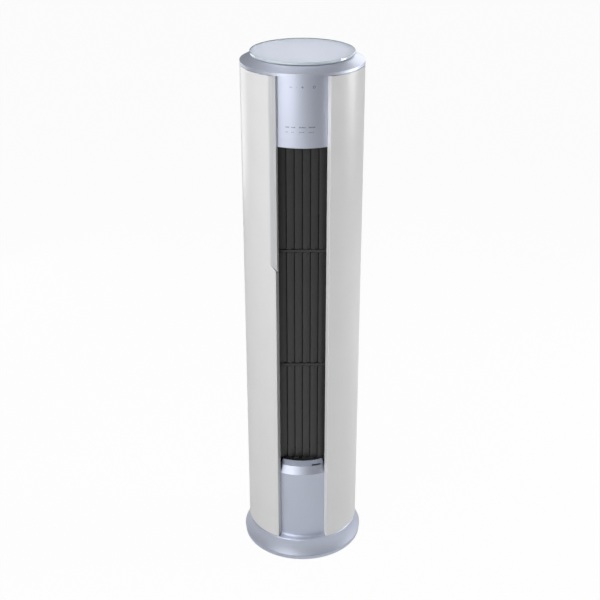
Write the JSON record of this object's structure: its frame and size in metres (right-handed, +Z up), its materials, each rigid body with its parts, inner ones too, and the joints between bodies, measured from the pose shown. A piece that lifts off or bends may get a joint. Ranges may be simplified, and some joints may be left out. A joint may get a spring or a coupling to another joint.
{
  "type": "floor standing air conditioner",
  "caption": "Round tower air conditioner on a flared base, with white side panels, a tall front outlet with upright vanes, a display panel and a glass disc on top.",
  "frame": {"origin": "centre of the tower on the floor, at the underside of the rubber feet", "axes": "+Z up along the tower's axis, -Y out of the front air outlet, +X to the right as seen from the front"},
  "size_m": [0.42, 0.42, 1.768],
  "materials": {
    "base_plate": "powder coated steel",
    "rubber_feet": "moulded rubber",
    "base_screws": "zinc plated",
    "base_plinth": "silver-blue metallic paint, satin",
    "lower_cover": "silver-blue metallic paint, satin",
    "outlet_sill": "grey moulded plastic",
    "left_column": "galvanised sheet",
    "right_column": "galvanised sheet",
    "top_plate": "galvanised sheet",
    "outlet_frame": "dark grey moulded plastic",
    "front_screws": "zinc plated",
    "vane_1": "dark grey moulded plastic",
    "vane_2": "dark grey moulded plastic",
    "vane_3": "dark grey moulded plastic",
    "vane_4": "dark grey moulded plastic",
    "vane_5": "dark grey moulded plastic",
    "vane_6": "dark grey moulded plastic",
    "vane_link": "natural acetal",
    "vane_motor": "plated steel can",
    "lower_end_plate": "galvanised sheet",
    "upper_end_plate": "galvanised sheet",
    "scroll_wall": "moulded plastic",
    "tongue_wall": "moulded plastic",
    "fan_wheel": "glass filled plastic",
    "fan_shafts": "ground steel",
    "fan_bearing": "rubber bush",
    "fan_motor": "plated steel can",
    "motor_bracket": "galvanised steel",
    "motor_bolts": "zinc plated",
    "evaporator_fins": "pressed fins",
    "evaporator_brackets": "galvanised sheet",
    "evaporator_bends": "copper tube",
    "drain_pan": "moulded plastic",
    "drain_pipe": "plastic tube",
    "gas_pipe": "copper tube",
    "liquid_pipe": "copper tube",
    "control_box": "galvanised sheet",
    "control_lid": "galvanised sheet",
    "main_board": "circuit board",
    "terminal_block": "moulded plastic",
    "display_panel": "silver-blue metallic paint, satin",
    "display_board": "circuit board",
    "left_panel": "white, satin",
    "grip_strip": "grey metallic, satin",
    "door_strikes": "plated steel",
    "hinge_pins": "ground steel",
    "door_magnets": "ferrite",
    "right_panel": "white, satin",
    "rear_housing": "white moulded plastic",
    "filter_frame": "moulded plastic",
    "filter_mesh": "fine nylon mesh",
    "pipe_collar": "moulded plastic",
    "cord_gland": "rubber bush",
    "housing_screws": "zinc plated",
    "wall_bracket": "galvanised strap",
    "top_cap": "silver-blue metallic paint, satin",
    "cap_screws": "zinc plated",
    "glass_gasket": "soft rubber",
    "glass_disc": "back painted glass, polished edge"
  },
  "bodies": {
    "cabinet": {"base_plate": "base_plate", "rubber_feet": "rubber_feet", "base_screws": "base_screws", "base_plinth": "base_plinth", "lower_cover": "lower_cover", "outlet_sill": "outlet_sill", "left_column": "left_column", "right_column": "right_column", "top_plate": "top_plate", "outlet_frame": "outlet_frame", "front_screws": "front_screws", "vane_motor": "vane_motor", "lower_end_plate": "lower_end_plate", "upper_end_plate": "upper_end_plate", "scroll_wall": "scroll_wall", "tongue_wall": "tongue_wall", "fan_bearing": "fan_bearing", "fan_motor": "fan_motor", "motor_bracket": "motor_bracket", "motor_bolts": "motor_bolts", "evaporator_fins": "evaporator_fins", "evaporator_brackets": "evaporator_brackets", "evaporator_bends": "evaporator_bends", "drain_pan": "drain_pan", "drain_pipe": "drain_pipe", "gas_pipe": "gas_pipe", "liquid_pipe": "liquid_pipe", "control_box": "control_box", "control_lid": "control_lid", "main_board": "main_board", "terminal_block": "terminal_block", "display_panel": "display_panel", "display_board": "display_board", "hinge_pins": "hinge_pins", "door_magnets": "door_magnets", "right_panel": "right_panel", "rear_housing": "rear_housing", "filter_frame": "filter_frame", "filter_mesh": "filter_mesh", "pipe_collar": "pipe_collar", "cord_gland": "cord_gland", "housing_screws": "housing_screws", "wall_bracket": "wall_bracket", "top_cap": "top_cap", "cap_screws": "cap_screws", "glass_gasket": "glass_gasket", "glass_disc": "glass_disc"},
    "door": {"left_panel": "left_panel", "grip_strip": "grip_strip", "door_strikes": "door_strikes"},
    "fan": {"fan_wheel": "fan_wheel", "fan_shafts": "fan_shafts"},
    "vane_body_1": {"vane_1": "vane_1"},
    "vane_body_2": {"vane_2": "vane_2"},
    "vane_body_3": {"vane_3": "vane_3"},
    "vane_body_4": {"vane_4": "vane_4"},
    "vane_body_5": {"vane_5": "vane_5"},
    "vane_body_6": {"vane_6": "vane_6"},
    "link": {"vane_link": "vane_link"}
  },
  "joints": [
    {"name": "door_hinge", "type": "hinge", "parent": "cabinet", "child": "door", "pos_m": [-0.18362, 0.02255, 0.903], "axis": [0, 0, -1], "range_deg": [0, 75]},
    {"name": "fan_axle", "type": "hinge", "parent": "cabinet", "child": "fan", "pos_m": [0, -0.012, 0.96], "axis": [0, 0, 1], "continuous": true},
    {"name": "vane_swing_1", "type": "hinge", "parent": "cabinet", "child": "vane_body_1", "pos_m": [-0.0635, -0.125, 0.96], "axis": [0, 0, 1], "range_deg": [-12, 120]},
    {"name": "vane_swing_2", "type": "hinge", "parent": "cabinet", "child": "vane_body_2", "pos_m": [-0.0381, -0.125, 0.96], "axis": [0, 0, 1], "range_deg": [-12, 120]},
    {"name": "vane_swing_3", "type": "hinge", "parent": "cabinet", "child": "vane_body_3", "pos_m": [-0.0127, -0.125, 0.96], "axis": [0, 0, 1], "range_deg": [-12, 120]},
    {"name": "vane_swing_4", "type": "hinge", "parent": "cabinet", "child": "vane_body_4", "pos_m": [0.0127, -0.125, 0.96], "axis": [0, 0, 1], "range_deg": [-12, 120]},
    {"name": "vane_swing_5", "type": "hinge", "parent": "cabinet", "child": "vane_body_5", "pos_m": [0.0381, -0.125, 0.96], "axis": [0, 0, 1], "range_deg": [-12, 120]},
    {"name": "vane_swing_6", "type": "hinge", "parent": "cabinet", "child": "vane_body_6", "pos_m": [0.0635, -0.125, 0.96], "axis": [0, 0, 1], "range_deg": [-12, 120]},
    {"name": "link_pivot", "type": "hinge", "parent": "vane_body_3", "child": "link", "pos_m": [-0.00001, -0.11908, 1.555], "axis": [0, 0, -1], "range_deg": [-12, 120]}
  ],
  "couplings": [
    {"joint": "vane_swing_1", "follows": "vane_swing_3", "ratio": 1},
    {"joint": "vane_swing_2", "follows": "vane_swing_3", "ratio": 1},
    {"joint": "vane_swing_4", "follows": "vane_swing_3", "ratio": 1},
    {"joint": "vane_swing_5", "follows": "vane_swing_3", "ratio": 1},
    {"joint": "vane_swing_6", "follows": "vane_swing_3", "ratio": 1},
    {"joint": "link_pivot", "follows": "vane_swing_3", "ratio": 1}
  ]
}
